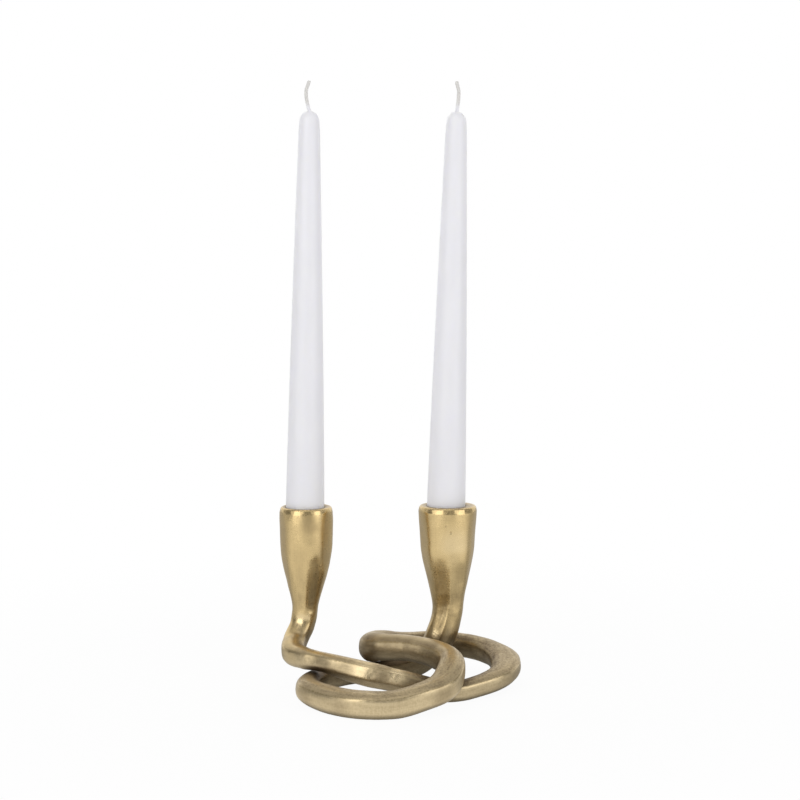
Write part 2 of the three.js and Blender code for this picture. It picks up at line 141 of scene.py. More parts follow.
# The cups: height and radius of the rim, height, radius and ease of neck and barrel, and rubbing of the neck
CUPS = {
    "left_cup": {
        "axis": (-54.10, 27.50),
        "bend": -0.9,
        "rim": (101.6, 15.77),
        "neck": (41.0, 7.45, 9.0),
        "barrel": (82.0, 15.3, 17.0),
        "rub": (25, 3, 8),
    },
    "right_cup": {
        "axis": (27.50, 27.50),
        "bend": 0.3,
        "rim": (102.4, 17.5),
        "neck": (42.0, 8.95, 11.5),
        "barrel": (81.0, 15.95, 13.0),
        "rub": (60, 5, 12),
    },
}
CUP_CRISPNESS = 28
CUP_CURVE_POINTS = 60
# How the flats of the cups run in and out, and the edge under the rim that is left alone
FLAT_RUN_IN = 6
FLAT_RUN_OUT = (12, 3)
RIM_KEPT = (3, 1.5)
RIM_LIP = 1 * MM
RIM_DRAWN_IN = 0.7
RIM_DRAW_HEIGHT = 11
# Flats filed on the cups: facing from the front to the right, half width in degrees, lower and upper end
CUP_FLATS = {
    "left_cup": (
        (27, 20, 43, 74),
        (-13, 19, 46, 80),
        (57, 18, 70, 99),
        (-66, 17, 58, 99),
        (118, 18, 46, 82),
        (165, 20, 60, 98),
        (-128, 20, 48, 90),
    ),
    "right_cup": (
        (-68, 19, 58, 100),
        (74, 16, 62, 100),
        (32, 17, 44, 70),
        (-20, 16, 50, 72),
        (125, 20, 46, 92),
        (172, 18, 56, 98),
        (-122, 18, 50, 84),
    ),
}
# Two hollows of the left arm, then a dent and casting pits: place, radius and depth
DENTS = (
    (-48.6, -11.2, 21, 12, 0.95),
    (-7.2, -27.6, 13.6, 13.5, 1.05),
    (-59.5, 18.6, 28.5, 4.6, 0.6),
    (28.9, 11, 88.8, 0.9, 0.35),
    (26.1, 11, 92.8, 0.8, 0.2),
)
# Spots rubbed smooth and painted lighter as highlights where the light glints, or left dull with tarnish:
# place, radius, and how bright or dull
GLINT_AND_DULL_SPOTS = (
    (-19.8, -23.3, 16.8, 11, 0.6),
    (-2.2, -26, 16.3, 7, 1),
    (-57.5, 19, 37, 6, 1),
    (-51.1, 19, 38.5, 4.5, 1),
    (24, 19, 39, 5, 0.4),
    (19.6, 19, 28.8, 4.5, 0.8),
    (-15, 16, 28, 9, -0.9),
    (-6, 8, 28, 11, -0.7),
    (2.5, 3.5, 30, 8, -0.4),
    (9, 0, 28, 11, -0.6),
    (18, -7, 28, 8, -0.7),
    (-51, -36, 7, 12, -0.7),
    (-40, -45, 8, 10, -0.4),
    (-31, -53, 7, 10, -0.6),
    (22, -48, 11, 11, -0.8),
    (-50.5, 12, 93, 9, -0.6),
    (31.5, 12.5, 82, 15, 0.7),
    (31, 15.5, 64, 13, 0.75),
    (44, 39, 14, 12, 0.4),
)
SPOT_CORE = 0.2
# The groove filed down the front of the right stem: places across and up, and half its width
STEM_GROOVE = (
    (26.3, 53.5, 2.9),
    (24.8, 42.4, 2.9),
    (23.5, 37.5, 3.0),
    (20.9, 32.0, 3.8),
    (17.5, 25.0, 4.4),
)
STEM_GROOVE_DEPTH = 1.1
GROOVE_HOLLOW = 1.5
GROOVE_RUN_IN = 10 * MM
GROOVE_LEFT_FLARE = 0.5
GROOVE_FLARE_RUN = 16 * MM
GROOVE_FACING = (0.25, 0.6)
CHATTER = 0.012
CHATTER_PITCH = 1.7 * MM
STEM_FRONT = 20 * MM
STEM_FRONT_BAND = 9 * MM

# Rubbing over: how strong and how often, and where it starts above a neck and ends below a rim
RUB_FACTOR = 0.5
BARREL_PASSES = 40
BARREL_ABOVE_NECK = 4 * MM
BARREL_BELOW_RIM = (6 * MM, 3 * MM)
GROOVE_PASSES = 4
GROOVE_ABOVE_NECK = (8 * MM, 16 * MM)
RIDGE_PASSES = 50
RIDGE_HEIGHT = 0.25 * MM
# Slow waves and hammer marks: their spread, and the heights at which they fade in and out
WAVE_SPREAD = 12 * MM
HAMMER_SPREAD = 3.2 * MM
HAMMER_ON_CUPS = 0.3
OFF_TABLE = (0.2 * MM, 4 * MM)
ONTO_CUPS = (40 * MM, 60 * MM)
ONTO_RIMS = (98 * MM, 100 * MM)
RIM_EVENNESS = 0.8

# Noise of the brass: scale, detail and roughness, and how far marks and streaks are drawn out
CLOUDS = (90.0, 4.0, 0.6)
GRAIN = (900.0, 4.0, 0.65)
FILE_MARKS = (1400.0, 3.0, 0.7)
STREAKS = (700.0, 4.0, 0.65)
MARK_STRETCH = 0.10
STREAK_STRETCH = 0.12
BRASS_ROUGHNESS = 0.40
# Heights over which the brass turns golden towards the cups, and over which the knot ends
POLISH_FROM = 18
POLISH_RUN = 18
KNOT_TOP = (26 * MM, 31 * MM)
# How far the ambient occlusion reaches for the patina and painted shade
SHELTER_REACH = 55 * MM
SHELTER_SAMPLES = 8

# The sockets: radius, band and depth of the wall that is drawn in, and the broken edge of the mouth
SOCKET_RADIUS = 11.55 * MM
SOCKET_BAND = 1 * MM
SOCKET_WALL_DEPTH = 24 * MM
MOUTH_EDGE = (0.4 * MM, 1.2 * MM)
MOUTH_SLOPE = 0.4
CANDLE_CLEARANCE = 0.06 * MM
# Where the candles stand: the middle of each socket's mouth, the lean to the right and the base
SOCKET_MOUTHS = {
    "left": Vector((-54.70, 27.50, 101.6)) * MM,
    "right": Vector((26.60, 27.50, 102.4)) * MM,
}
CANDLE_LEANS = {"left": math.radians(0.9), "right": math.radians(1.4)}
CANDLE_BASES = {"left": -24.7 * MM, "right": -25.8 * MM}

# The tapers: steps, bevel of the foot, height of the straight seat, swell of the sides, and the crown
TAPER_STEPS = 12
TAPER_BEVEL = 1.0 * MM
SEAT_HEIGHT = 25 * MM
TAPER_SWELL = 0.35 * MM
CROWN_HEIGHT = 5 * MM
CROWN = ((2.2 * MM, 0.86), (3.9 * MM, 0.64), (4.9 * MM, 0.42))
CROWN_INSETS = ((1.0 * MM, 0.0), (0.4 * MM, -0.5 * MM))
# The wicks: yarns of the braid, free length, how high the bow is, and where the wax has soaked in
YARNS = 3
YARN_POINTS = 560
YARN_SHARE = 0.25
BRAID_PITCH = 4.6 * MM
WICK_FREE = 17.5 * MM
WICK_BOWS = {"left": (-2.1 * MM, -0.5 * MM), "right": (0.9 * MM, -0.5 * MM)}
BOW_HEIGHT = 0.62
WAX_SOAKED = (1.5 * MM, 6 * MM)

# The sharpest edges, in degrees, that are still shaded smooth
CAST_EDGE = 50
WAX_EDGE = 40
WICK_EDGE = 60

FLOOR_DROP = 0.05 * MM
# How far the floor's painted shadow reaches from the bar
FLOOR_SHELTER = 0.06
# The soft lamps, which look at one spot: place, width, height and power
LAMPS = {
    "left_lamp": ((-0.80, -0.95, 0.55), 0.95, 1.1, 6.0),
    "right_lamp": ((0.98, -0.72, 0.5), 0.8, 1.0, 4.5),
    "top_lamp": ((-0.1, -0.35, 1.3), 0.9, 0.5, 1.2),
}
LAMP_AIM = Vector((0, 0, 0.12))


def length_property(name, description, millimetres):
    """A property that holds a length."""
    return FloatProperty(name=name, description=description, default=millimetres * MM, unit="LENGTH")


def colour_property(name, description, colour):
    """A property that holds a colour."""
    return FloatVectorProperty(name=name, description=description, subtype="COLOR", default=colour)


class CastingSizes(PropertyGroup):
    """Sizes and colours of the brass casting."""

    grain: length_property("Mesh grain", "Edge length of the casting's mesh", 0.42)
    softening: IntProperty(name="Softening", description="How often the filed edges are rubbed", default=4)
    unevenness: length_property("Unevenness", "Depth of the slow waves that hand filing leaves", 0.4)
    hammering: length_property("Hammering", "Depth of the small marks left by the hammer", 0.12)
    brass: colour_property("Brass", "Colour of the rubbed brass of the cups", (0.70, 0.53, 0.265))
    dull_brass: colour_property("Dull brass", "Colour of the paler brass of the knot", (0.69, 0.56, 0.345))
    # The brown is laid on as patina and as painted shade, in the hollows and on faces that look up
    patina_and_shade: colour_property("Patina", "Colour of the brown in the hollows", (0.16, 0.115, 0.068))


class CandleSizes(PropertyGroup):
    """Sizes and colours of the tapers and wicks."""

    length: length_property("Length", "Length of a taper without its wick", 250)
    base: length_property("Base", "Diameter of a taper in its socket", 22.3)
    top: length_property("Top", "Diameter of a taper under its crown", 11.8)
    wick: length_property("Wick", "Width of the braided wick", 2.2)
    wax: colour_property("Wax", "Colour of the wax", (0.89, 0.885, 0.92))
    cotton: colour_property("Cotton", "Colour of the wicks", (0.80, 0.785, 0.76))


class StageSettings(PropertyGroup):
    """Place, tilt and lens of the camera."""

    camera_place: FloatVectorProperty(
        name="Camera",
        description="Place of the camera",
        subtype="TRANSLATION",
        unit="LENGTH",
        default=(0.0, -0.8965, 0.238),
    )
    camera_pitch: FloatProperty(
        name="Pitch",
        description="Tilt of the camera from looking straight down",
        subtype="ANGLE",
        default=math.radians(85.37),
    )
    lens: FloatProperty(name="Lens", description="Focal length in millimetres", default=72.72)


@contextmanager
def editing(piece, select="VERT", action="SELECT"):
    """A with block in edit mode on one piece, with all or nothing selected."""
    alone(piece)
    bpy.ops.object.mode_set(mode="EDIT")
    bpy.ops.mesh.select_mode(type=select)
    bpy.ops.mesh.select_all(action=action)
    yield bmesh.from_edit_mesh(piece.data)
    bpy.ops.object.mode_set(mode="OBJECT")


def alone(piece):
    """Selects one piece and nothing else."""
    bpy.ops.object.select_all(action="DESELECT")
    piece.select_set(True)
    bpy.context.view_layer.objects.active = piece


def together(pieces):
    """Selects several pieces, the first of them active."""
    alone(pieces[0])
    for piece in pieces[1:]:
        piece.select_set(True)


def modify(piece, kind, **settings):
    """Adds a modifier to a piece and applies it."""
    alone(piece)
    modifier = piece.modifiers.new(kind.title(), kind)
    for name, value in settings.items():
        setattr(modifier, name, value)
    bpy.ops.object.modifier_apply(modifier=modifier.name)


def shade(piece, degrees):
    """Shades a piece smooth, except at edges sharper than an angle."""
    alone(piece)
    bpy.ops.object.shade_smooth_by_angle(angle=math.radians(degrees))


def pick(edit_mesh, faces):
    """Selects the given faces of an edit mesh."""
    for face in faces:
        face.select = True
    edit_mesh.select_flush(True)


def merge(piece):
    """Joins the loose corners of a piece."""
    with editing(piece):
        bpy.ops.mesh.remove_doubles(threshold=MERGE_DISTANCE)


def places(piece):
    """The corners of a piece as rows of numbers."""
    rows = np.empty(len(piece.data.vertices) * 3)
    piece.data.vertices.foreach_get("co", rows)
    return rows.reshape(-1, 3)


def facings(piece):
    """The normals at the corners of a piece."""
    rows = np.empty(len(piece.data.vertices) * 3, np.float32)
    piece.data.vertex_normals.foreach_get("vector", rows)
    return rows.reshape(-1, 3)


def place(piece, rows):
    """Moves the corners of a piece to the given rows."""
    piece.data.vertices.foreach_set("co", rows.ravel())
    piece.data.update()


def ease(low, high, values):
    """A smooth step from 0 at low to 1 at high."""
    share = np.clip((values - low) / (high - low), 0, 1)
    return share * share * (3 - 2 * share)


def nearness(rows, spot, radius, core=0.0):
    """1 at a spot and in its core, and 0 from a radius round it."""
    away = np.linalg.norm(rows - np.array(spot) * MM, axis=1)
    return 1 - ease(core * radius * MM, radius * MM, away)


def unit(rows):
    """Rows of numbers brought to the length 1."""
    return rows / np.linalg.norm(rows, axis=1)[:, None]


def search_tree(spots, numbers):
    """A tree that finds the nearest of the given spots and its number."""
    tree = KDTree(len(spots))
    for spot, number in zip(spots, numbers):
        tree.insert(spot, number)
    tree.balance()
    return tree


def settle(piece, name, body, slot, material, *nodes):
    """Names a finished piece, dresses it and ties it to the frame."""
    piece.name = piece.data.name = name
    piece.data.materials.clear()
    piece.data.materials.append(material)
    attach(piece, body)
    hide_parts(*nodes)


class Wire:
    """A shader socket that takes part in Python arithmetic."""

    def __init__(self, finish, socket):
        self.finish, self.socket = finish, socket

    def math(self, operation, *values):
        return self.finish.node("ShaderNodeMath", {"operation": operation}, values)

    def __add__(self, other):
        return self.math("ADD", self, other)

    def __sub__(self, other):
        return self.math("SUBTRACT", self, other)

    def __rsub__(self, other):
        return self.math("SUBTRACT", other, self)

    def __mul__(self, other):
        return self.math("MULTIPLY", self, other)

    __radd__, __rmul__ = __add__, __mul__


class Finish:
    """The node tree of a material or of the world."""

    def __init__(self, owner):
        owner.use_nodes = True
        self.owner, self.tree = owner, owner.node_tree
        self.tree.nodes.clear()

    def node(self, kind, settings=None, inputs=(), output=0):
        """Adds a node: its settings first, then values or wires for its sockets, and gives one output."""
        made = self.tree.nodes.new(kind)
        for name, value in (settings or {}).items():
            setattr(made, name, value)
        pairs = inputs.items() if isinstance(inputs, dict) else enumerate(inputs)
        for key, value in pairs:
            if isinstance(value, Wire):
                self.tree.links.new(value.socket, made.inputs[key])
            else:
                made.inputs[key].default_value = value
        return Wire(self, made.outputs[output]) if len(made.outputs) else None

    def blend(self, share, first, second):
        """A colour between two others."""
        first, second = (c if isinstance(c, Wire) else (*c, 1.0) for c in (first, second))
        return self.node("ShaderNodeMix", {"data_type": "RGBA"}, {0: share, 6: first, 7: second}, 2)

    def step(self, value, low, high):
        """A smooth step of a value from 0 at low to 1 at high."""
        return self.node(
            "ShaderNodeMapRange",
            {"interpolation_type": "SMOOTHSTEP"},
            {"Value": value, "From Min": low, "From Max": high, "To Min": 0.0, "To Max": 1.0},
        )

    def noise(self, vector, scale, detail, roughness):
        """Noise in the space of a vector."""
        inputs = {"Vector": vector, "Scale": scale, "Detail": detail, "Roughness": roughness}
        return self.node("ShaderNodeTexNoise", {}, inputs)

    def stretch(self, vector, scale):
        """A vector scaled along each axis."""
        return self.node("ShaderNodeMapping", {}, {"Vector": vector, "Scale": scale})

    def bump(self, height, distance, strength):
        """A normal that shows a height as relief."""
        inputs = {"Height": height, "Distance": distance, "Strength": strength}
        return self.node("ShaderNodeBump", {}, inputs)

    def openness(self, distance):
        """1 in the open, and less where something stands within a distance."""
        settings = {"samples": SHELTER_SAMPLES}
        return self.node("ShaderNodeAmbientOcclusion", settings, {"Distance": distance}, "AO")

    def coat(self, inputs):
        """Ends the tree with one principled shader and gives the material."""
        return self.surface(self.node("ShaderNodeBsdfPrincipled", {}, inputs))

    def surface(self, shader):
        """Ends the tree with its output and gives the material or world."""
        is_world = isinstance(self.owner, bpy.types.World)
        kind = "ShaderNodeOutputWorld" if is_world else "ShaderNodeOutputMaterial"
        self.node(kind, {}, {"Surface": shader})
        return self.owner


def brass_finish(sizes):
    """Satin antique brass: rubbed ridges with painted highlights, brown hollows of patina and painted shade,
    fine file marks and a mottled grain.
    """
    finish = Finish(bpy.data.materials.new("antique_brass"))
    step = finish.step
    spot = finish.node("ShaderNodeTexCoord", output="Object")
    ridge, along, around, polish, glints_and_dull_spots = (
        finish.node("ShaderNodeAttribute", {"attribute_name": name}, output="Fac")
        for name in ("ridge", "along", "around", "polish", "glints_and_dull_spots")
    )
    shelter = finish.openness(SHELTER_REACH)
    height = finish.node("ShaderNodeSeparateXYZ", {}, (spot,), "Z")
    normal = finish.node("ShaderNodeNewGeometry", output="Normal")
    upward = finish.node("ShaderNodeSeparateXYZ", {}, (normal,), "Z")

    across_bar = finish.node("ShaderNodeCombineXYZ", {}, (along, around * MARK_STRETCH))
    down_bar = finish.node("ShaderNodeCombineXYZ", {}, (along * STREAK_STRETCH, around))
    clouds = finish.noise(spot, *CLOUDS)
    grain = finish.noise(spot, *GRAIN)
    marks = finish.noise(across_bar, *FILE_MARKS)
    streaks = finish.noise(down_bar, *STREAKS)

    # Where the brass is rubbed with painted highlights, dull, golden, worn, sheltered with patina and
    # painted shade, or facing up with painted shade and a dust-like mottle
    # Rubbed spots: lower roughness, and a painted highlight that lightens the colour where the light glints
    rubbed = step(glints_and_dull_spots, 0.0, 1.0) * step(upward, -0.3, 0.0)
    dull = step(0 - glints_and_dull_spots, 0.0, 1.0)
    golden = step(polish + (clouds - 0.5) * 1.1, 0.0, 1.0)
    worn = step(ridge + (clouds - 0.5) * 0.5, -0.25, 0.30)
    # Patina in the hollows, with painted shade where other parts and the candles stand close by
    open_air = shelter + (clouds - 0.5) * 0.3 + (streaks - 0.5) * 0.2
    sheltered = 1 - step(open_air, 0.45, 1.0)
    # Painted shade: faces that look up are browned, in a dust-like mottle, so that they come out darker
    upward_shade_and_dust = step(upward, 0.35, 0.85) * step(streaks * 0.5 + grain * 0.5, 0.26, 0.74)
    upward_shade_and_dust = upward_shade_and_dust * (1 - golden) * (1 - step(height, *KNOT_TOP))

    # The metal with its painted highlights, the dirt in its marks, the brown of patina and painted shade,
    # and the golden dashes along the crests
    metal = finish.blend(golden, tuple(sizes.dull_brass), tuple(sizes.brass))
    # Painted highlight: the rubbed spots are lightened towards a pale brass
    metal = finish.blend(rubbed * 0.6, metal, [c * 1.15 for c in sizes.dull_brass])
    dirt = step(grain * 0.4 + marks * 0.25 + streaks * 0.35, 0.60, 0.36)
    dirt = dirt * (0.45 - 0.2 * golden - 0.25 * rubbed)
    mottled = finish.blend(dirt, metal, [c * 0.55 for c in sizes.brass])
    stain = (1 - worn) * 0.2 + upward_shade_and_dust * 0.75 - rubbed * 0.5 + dull * 0.4
    within_one = {"operation": "MULTIPLY_ADD", "use_clamp": True}
    brown = finish.node("ShaderNodeMath", within_one, (sheltered, 0.8, stain))
    colour = finish.blend(brown, mottled, tuple(sizes.patina_and_shade))
    crest = upward + (streaks - 0.5) * 0.25 + (marks - 0.5) * 0.25
    crest = step(crest, 0.40, 0.50) * step(crest, 0.66, 0.56)
    crest = crest * (1 - golden) * step(grain, 0.40, 0.60) * (1 - rubbed)
    colour = finish.blend(crest * 0.85, colour, [c * 0.45 for c in sizes.brass])

    roughness = BRASS_ROUGHNESS - golden * 0.07 + (grain - 0.5) * 0.25 + (marks + streaks - 1.0) * 0.12
    roughness = roughness - worn * 0.05 + brown * 0.15 + upward_shade_and_dust * 0.1 - rubbed * 0.1 + dull * 0.1
    scratches = finish.bump(grain * 0.5 + marks * 0.8 + streaks * 0.6, 0.07 * MM, 0.6)
    inputs = {"Base Color": colour, "Metallic": 1.0, "Roughness": roughness, "Normal": scratches}
    return finish.coat(inputs)


def wax_finish(sizes):
    """White paraffin: faintly mottled, a little translucent, with a soft sheen."""
    finish = Finish(bpy.data.materials.new("white_wax"))
    spot = finish.node("ShaderNodeTexCoord", output="Object")
    clouds = finish.noise(finish.stretch(spot, (1.0, 1.0, 0.3)), 120.0, 3.0, 0.5)
    grain = finish.noise(spot, 700.0, 3.0, 0.6)
    colour = finish.blend(clouds, [c * 0.96 for c in sizes.wax], [min(1.0, c * 1.03) for c in sizes.wax])
    return finish.coat(
        {
            "Base Color": colour,
            "Roughness": 0.42 + (grain - 0.5) * 0.2,
            "Subsurface Weight": 0.6,
            "Subsurface Radius": (0.004, 0.004, 0.0044),
            "Subsurface Scale": 1.0,
            "Normal": finish.bump(clouds * 0.7 + grain * 0.3, 0.12 * MM, 0.3),
        }
    )


def cotton_finish(sizes):
    """Waxed cotton yarn with a few darker fibres."""
    finish = Finish(bpy.data.materials.new("waxed_cotton"))
    spot = finish.node("ShaderNodeTexCoord", output="Object")
    fibres = finish.noise(finish.stretch(spot, (1.0, 1.0, 0.2)), 5000.0, 2.0, 0.6)
    soaked = finish.node("ShaderNodeAttribute", {"attribute_name": "soaked"}, output="Fac")
    dry = finish.blend(fibres, [c * 0.82 for c in sizes.cotton], [min(1.0, c * 1.1) for c in sizes.cotton])
    colour = finish.blend(soaked, dry, tuple(sizes.wax))
    relief = finish.bump(fibres, 0.05 * MM, 0.6)
    return finish.coat({"Base Color": colour, "Roughness": 0.85, "Normal": relief})


def copy_of(node):
    """A loose copy of a CAD node with its corners joined."""
    piece = bpy.data.objects.new(f"{node}_copy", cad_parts[node].data.copy())
    bpy.context.scene.collection.objects.link(piece)
    piece.data.materials.clear()
    merge(piece)
    return piece


class Seam:
    """The flat ring where two lengths of the casting are welded, with its axis along the bar."""

    def __init__(self, first, second):
        self.pair = (first, second)
        cup = next((name for name in self.pair if name in CUPS), None)
        if cup:
            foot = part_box(cup)[0].z
            ring = [v.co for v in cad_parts[cup].data.vertices if v.co.z < foot + MERGE_DISTANCE]
        else:
            corners = [v.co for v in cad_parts[second].data.vertices]
            tree = search_tree(corners, range(len(corners)))
            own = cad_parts[first].data.vertices
            ring = [v.co for v in own if tree.find(v.co)[2] < MERGE_DISTANCE]
        rows = np.array(ring)
        self.centre = rows.mean(0)
        self.axis = np.linalg.svd(rows - self.centre)[2][2]

    def holds(self, face):
        """Whether a face lies in the seam's plane, inside its ring."""
        rows = np.array([v.co for v in face.verts]) - self.centre
        in_plane = np.abs(rows @ self.axis).max() < MERGE_DISTANCE
        return in_plane and np.linalg.norm(rows, axis=1).max() < SEAM_REACH

    def is_near(self, rows):
        """Which of the given points are in the band round the seam."""
        arms = rows - self.centre
        return (np.linalg.norm(arms, axis=1) < SEAM_REACH) & (np.abs(arms @ self.axis) < SEAM_BAND)


def overrun(piece, seam, reach):
    """Draws the end of a length past its weld, so that the weld itself lies on an unbroken skin."""
    with editing(piece, "FACE", "DESELECT") as edit_mesh:
        caps = [face for face in edit_mesh.faces if seam.holds(face)]
        out = caps[0].normal.normalized() * reach
        pick(edit_mesh, caps)
        bpy.ops.mesh.extrude_region_move(TRANSFORM_OT_translate={"value": out})


class Course:
    """The run of the bar at close steps: its middle, its direction, its top and its section."""

    def __init__(self):
        self.steps = np.arange(0, len(COURSE) - 1 + COURSE_STEP / 2, COURSE_STEP)
        run = self.curve()
        self.middles, self.sizes = run[:, :3], run[:, 3:]
        strides = np.linalg.norm(np.diff(self.middles, axis=0), axis=1)
        self.travel = np.concatenate([[0], np.cumsum(strides)])
        self.ways = np.gradient(self.middles, axis=0)
        for end, upright in ((self.steps, (0, 0, -1)), (self.steps[-1] - self.steps, (0, 0, 1))):
            hold = (1 - ease(0, COURSE_END, end))[:, None]
            self.ways = unit(self.ways) * (1 - hold) + np.array(upright) * hold
        self.ways = unit(self.ways)
        self.tops = self.turn_tops()
        sides, roll = np.cross(self.tops, self.ways), self.sizes[:, 3:]
        self.tops = self.tops * np.cos(roll) + sides * np.sin(roll)

    def curve(self):
        """A smooth curve through the rows of the course, with the sizes that go with it."""
        rows = np.array(COURSE) * (MM, MM, MM, MM / 2, MM / 2, 1, math.radians(1))
        spots = np.vstack([2 * rows[0] - rows[1], rows, 2 * rows[-1] - rows[-2]])
        gaps = np.sqrt(np.linalg.norm(np.diff(spots[:, :3], axis=0), axis=1))[:, None]
        at = np.minimum(self.steps.astype(int), len(rows) - 2)
        share = (self.steps - at)[:, None]
        before, first, second, after = (spots[at + i] for i in range(4))
        short, gap, wide = (gaps[at + i] for i in range(3))
        straight = (second - first) / gap
        leaving = gap * ((first - before) / short - (second - before) / (short + gap) + straight)
        coming = gap * (straight - (after - first) / (gap + wide) + (after - second) / wide)
        bend = share * share * (3 - 2 * share)
        run = first + (second - first) * bend
        return run + leaving * share * (1 - share) ** 2 - coming * share**2 * (1 - share)

    def turn_tops(self):
        """The top faces straight up on the level strands and turns with the bar on the two stems."""
        level = np.flatnonzero(np.abs(self.ways[:, 2]) < LEVEL_SLOPE)
        tops = np.array((0, 0, 1)) - self.ways * self.ways[:, 2:]
        for order in (range(level[0] - 1, -1, -1), range(level[-1] + 1, len(tops))):
            for i in order:
                last = i + 1 if i < level[0] else i - 1
                turn = Vector(self.ways[last]).rotation_difference(Vector(self.ways[i]))
                tops[i] = turn @ Vector(tops[last])
        return unit(tops)

    def read(self, rows, name):
        """For each point: how far along the bar it is, the bar's middle, side, top and sizes there."""
        first, last = LENGTHS[name]
        own = np.flatnonzero((self.steps > first - 1) & (self.steps < last + 1))
        tree = search_tree(self.middles[own], own)
        at = np.array([tree.find(row)[1] for row in rows])
        travel = self.travel[at] + ((rows - self.middles[at]) * self.ways[at]).sum(1)

        def there(table):
            return np.stack([np.interp(travel, self.travel, column) for column in table.T], 1)

        way, top = there(self.ways), there(self.tops)
        return travel, there(self.middles), np.cross(top, way), top, there(self.sizes)


def section_reach(angles):
    """How far the bar's outline is from its middle at each angle, for a half width and thickness of 1."""
    corners = [*SECTION, *((-x, y) for x, y in reversed(SECTION))]
    total = np.zeros(len(angles))
    for (x, y), (next_x, next_y) in zip(corners, corners[1:] + corners[:1]):
        way = math.atan2(x - next_x, next_y - y)
        off = math.cos(way) * x + math.sin(way) * y
        total += np.maximum(np.cos(angles - way) / off, 0) ** SECTION_CRISPNESS
    return total ** (-1 / SECTION_CRISPNESS)


def file_bar(rows, normals, course, name, below):
    """Files one length of the bar to its section; gives how far along and round each corner is."""
    travel, middle, side, top, sizes = course.read(rows, name)
    arms = rows - middle
    across, upward = (arms * side).sum(1) / sizes[:, 0], (arms * top).sum(1) / sizes[:, 1]
    angles = np.arctan2(upward, across)
    reach = section_reach(angles) * (1 - sizes[:, 2]) + sizes[:, 2]
    sideways = side * (reach * sizes[:, 0] * np.cos(angles))[:, None]
    filed = middle + sideways + top * (reach * sizes[:, 1] * np.sin(angles))[:, None]
    facing = (normals * arms).sum(1) / np.maximum(np.linalg.norm(arms, axis=1), TINY)
    hold = ease(*FACING_OUT, facing) * (rows[:, 2] < below)
    rows += (filed - rows) * hold[:, None]
    rows[:, 2] = np.maximum(rows[:, 2], 0)
    return travel, np.arctan2(across, upward) * sizes[:, 1]


def cup_profile(cup):
    """Heights and radii of the outside of a cup, from its neck to its rim."""
    rim, rim_radius = cup["rim"]
    neck, neck_radius, neck_ease = cup["neck"]
    barrel, barrel_radius, barrel_ease = cup["barrel"]
    share = np.linspace(0, 1, CUP_CURVE_POINTS)
    pulls = ((1 - share) ** 3, 3 * share * (1 - share) ** 2, 3 * share**2 * (1 - share), share**3)
    high = (neck, neck + neck_ease, barrel - barrel_ease, barrel)
    wide = (neck_radius, neck_radius, barrel_radius, barrel_radius)
    heights, radii = (sum(pull * end for pull, end in zip(pulls, ends)) for ends in (high, wide))
    return [*heights, rim], [*radii, rim_radius]


def file_cup(rows, normals, name):
    """Turns a cup true to its profile and files its flats; gives how far round each corner is."""
    cup = CUPS[name]
    rim, rim_radius = cup["rim"]
    neck, barrel = cup["neck"][0], cup["barrel"][0]
    height = rows[:, 2] / MM
    even = np.interp(height, *cup_profile(cup)) * MM
    bent = np.clip((barrel - height) / (barrel - neck), 0, 1) ** 2 * cup["bend"]
    middle = np.stack([cup["axis"][0] + bent, np.full(len(rows), cup["axis"][1])], 1) * MM
    arms = rows[:, :2] - middle
    reach = np.maximum(np.linalg.norm(arms, axis=1), TINY)
    facing = np.degrees(np.arctan2(arms[:, 0], -arms[:, 1]))
    total = np.ones(len(rows))
    for angle, half, bottom, top in CUP_FLATS[name]:
        off = np.radians((facing - angle + 180) % 360 - 180)
        held = ease(bottom - FLAT_RUN_IN, bottom + FLAT_RUN_IN, height)
        held *= 1 - ease(top - FLAT_RUN_OUT[0], top + FLAT_RUN_OUT[1], height)
        total += held * np.maximum(np.cos(off) / math.cos(math.radians(half)), 0) ** CUP_CRISPNESS
    outward = (normals[:, :2] * arms).sum(1) / reach
    under_rim = 1 - ease(rim - RIM_KEPT[0], rim - RIM_KEPT[1], height)
    hold = ease(*FACING_OUT, outward) * (rows[:, 2] > neck * MM) * under_rim
    rows[:, :2] += arms * (hold * (even * total ** (-1 / CUP_CRISPNESS) / reach - 1))[:, None]
    outer = ease(SOCKET_RADIUS + RIM_LIP, rim_radius * MM, reach)
    drawn = RIM_DRAWN_IN * MM * np.clip(1 - (rim - height) / RIM_DRAW_HEIGHT, 0, 1) ** 2 * outer
    rows[:, :2] -= arms * (drawn / reach)[:, None]
    return np.radians(facing) * even


def close_socket(rows, side, candle_radius):
    """Draws the wall and the mouth of a socket in to the candle that stands in it."""
    turn = np.array(Matrix.Rotation(CANDLE_LEANS[side], 3, "Y"))
    local = (rows - np.array(SOCKET_MOUTHS[side])) @ turn
    reach = np.linalg.norm(local[:, :2], axis=1)
    wall = candle_radius + CANDLE_CLEARANCE
    inner, outer = (SOCKET_RADIUS + edge for edge in MOUTH_EDGE)
    near = (reach < outer) & (reach > SOCKET_RADIUS - SOCKET_BAND) & (local[:, 2] > -SOCKET_WALL_DEPTH)
    drawn = np.maximum(wall, wall + MOUTH_SLOPE * (reach - SOCKET_RADIUS))
    share = near * (1 - ease(inner, outer, reach))
    local[:, :2] *= (1 + share * (drawn / np.maximum(reach, TINY) - 1))[:, None]
    rows[:] = local @ turn.T + np.array(SOCKET_MOUTHS[side])


def dent(rows, normals):
    """Presses in the hollows, the dent and the casting pits."""
    for *spot, radius, depth in DENTS:
        rows -= normals * (depth * MM * nearness(rows, spot, radius))[:, None]


